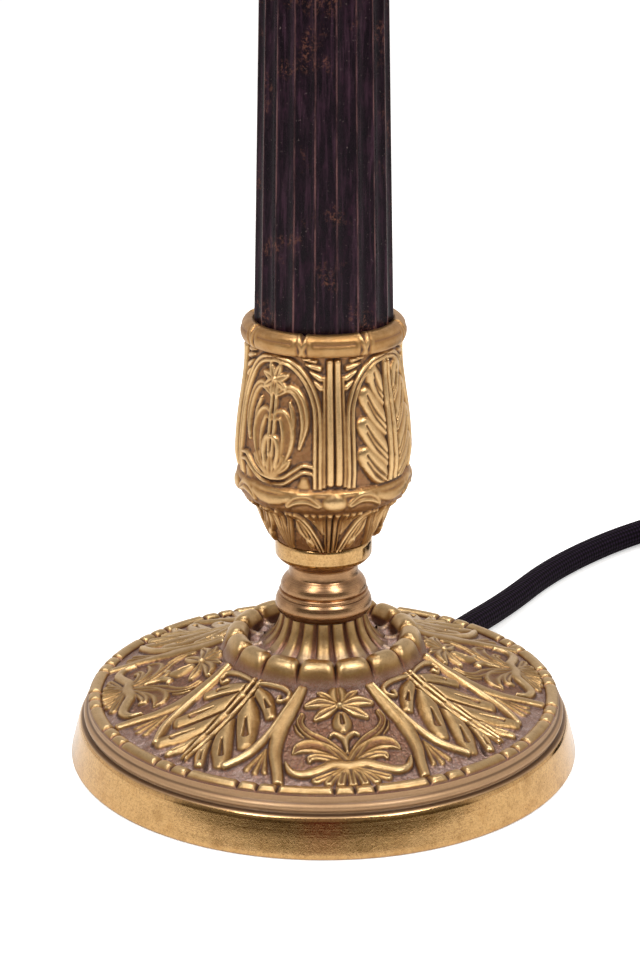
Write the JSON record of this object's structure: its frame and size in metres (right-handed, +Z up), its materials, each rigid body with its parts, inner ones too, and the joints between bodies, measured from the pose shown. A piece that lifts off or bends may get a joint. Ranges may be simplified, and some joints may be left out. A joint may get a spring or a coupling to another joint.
{
  "type": "table lamp",
  "caption": "Column table lamp with a round relief-cast brass foot, a dark fluted column, a lampholder with a turn switch, and a textile cord with its plug.",
  "frame": {"origin": "middle of the foot's underside, on the table", "axes": "+Z up along the column; the lamp is seen from -Y, and the switch key points along +X"},
  "size_m": [0.2816, 0.247, 0.4005],
  "materials": {
    "polished_brass": "polished and lacquered",
    "gilt_cast_brass": "cast relief, gilt and aged",
    "bronzed_brass": "satin, bronzed",
    "column_lacquer": "dark aubergine lacquer with worn arrises",
    "zinc_steel": "zinc plated",
    "cast_iron": "rough cast",
    "green_felt": "felt",
    "fibre_board": "hardboard",
    "holder_brass": "spun and lacquered",
    "contact_brass": "bright pressed",
    "porcelain": "glazed porcelain",
    "phenolic": "moulded phenolic",
    "lead_insulation": "wire insulation",
    "textile_cord": "braided textile over rubber",
    "black_rubber": "moulded"
  },
  "bodies": {
    "root": {"foot_rim": "polished_brass", "plain_ring": "polished_brass", "foot_casting": "gilt_cast_brass", "basket_casting": "gilt_cast_brass", "capital_casting": "gilt_cast_brass", "drip_pan": "gilt_cast_brass", "turned_collar": "bronzed_brass", "fluted_column": "column_lacquer", "foot_nut": "zinc_steel", "foot_washer": "zinc_steel", "top_nut": "zinc_steel", "threaded_rod": "zinc_steel", "column_lower_disc": "zinc_steel", "column_upper_disc": "zinc_steel", "ballast_disc": "cast_iron", "felt_pad": "green_felt", "base_board": "fibre_board", "holder_cap": "holder_brass", "holder_sleeve": "holder_brass", "screw_shell": "contact_brass", "centre_contact": "contact_brass", "terminal_screws": "contact_brass", "plug_pins": "contact_brass", "holder_insert": "porcelain", "terminal_block": "porcelain", "switch_block": "phenolic", "cord_clamp": "phenolic", "lead_wires": "lead_insulation", "power_cord": "textile_cord", "cord_coil": "textile_cord", "cord_bushing": "black_rubber", "plug_guard": "black_rubber", "plug_body": "black_rubber", "cord_tie": "black_rubber"},
    "shade_clamp": {"shade_ring": "holder_brass"},
    "switch_key": {"switch_shaft": "zinc_steel", "switch_knob": "holder_brass"}
  },
  "joints": [
    {"name": "shade_ring_turn", "type": "hinge", "parent": "root", "child": "shade_clamp", "pos_m": [0, 0, 0.3754], "axis": [0, 0, 1], "continuous": true},
    {"name": "switch_turn", "type": "hinge", "parent": "root", "child": "switch_key", "pos_m": [0.025, 0, 0.3555], "axis": [1, 0, 0], "continuous": true}
  ]
}
